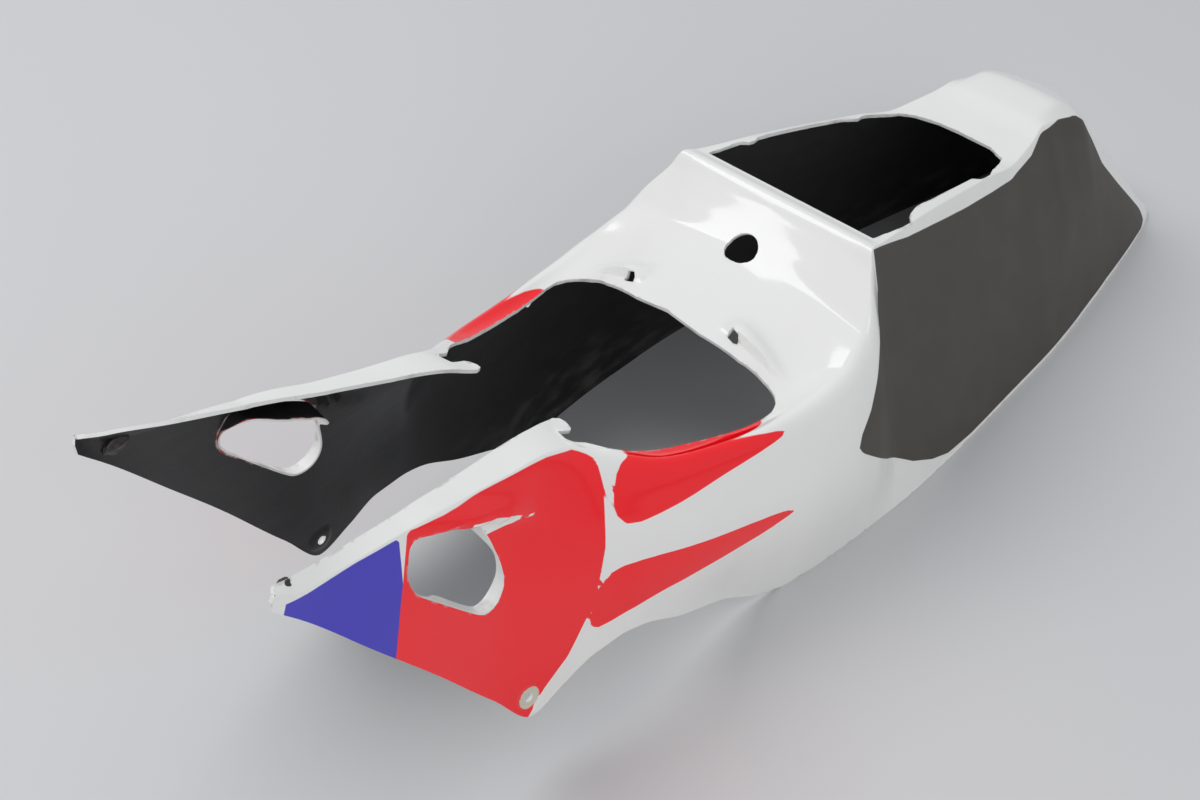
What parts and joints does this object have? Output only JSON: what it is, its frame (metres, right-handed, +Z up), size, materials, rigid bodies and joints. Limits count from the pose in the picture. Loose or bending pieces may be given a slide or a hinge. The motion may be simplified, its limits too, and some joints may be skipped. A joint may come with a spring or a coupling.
{
  "type": "motorcycle tail fairing",
  "caption": "Moulded fibreglass seat tail for a sport motorcycle: two long side wings, a seat opening, a hump with a top opening, and a tapering tail.",
  "frame": {"origin": "on the plane that the shell's long lower edge rests on, below the middle of its box", "axes": "+Y to the tail along the motorcycle, +X to the rider's left, +Z up from the resting plane"},
  "size_m": [0.2804, 1, 0.2825],
  "materials": {
    "painted_fibreglass": "gloss paint outside in white, red and blue, bare black laminate inside"
  },
  "bodies": {
    "root": {"tail_shell": "painted_fibreglass"}
  },
  "joints": []
}
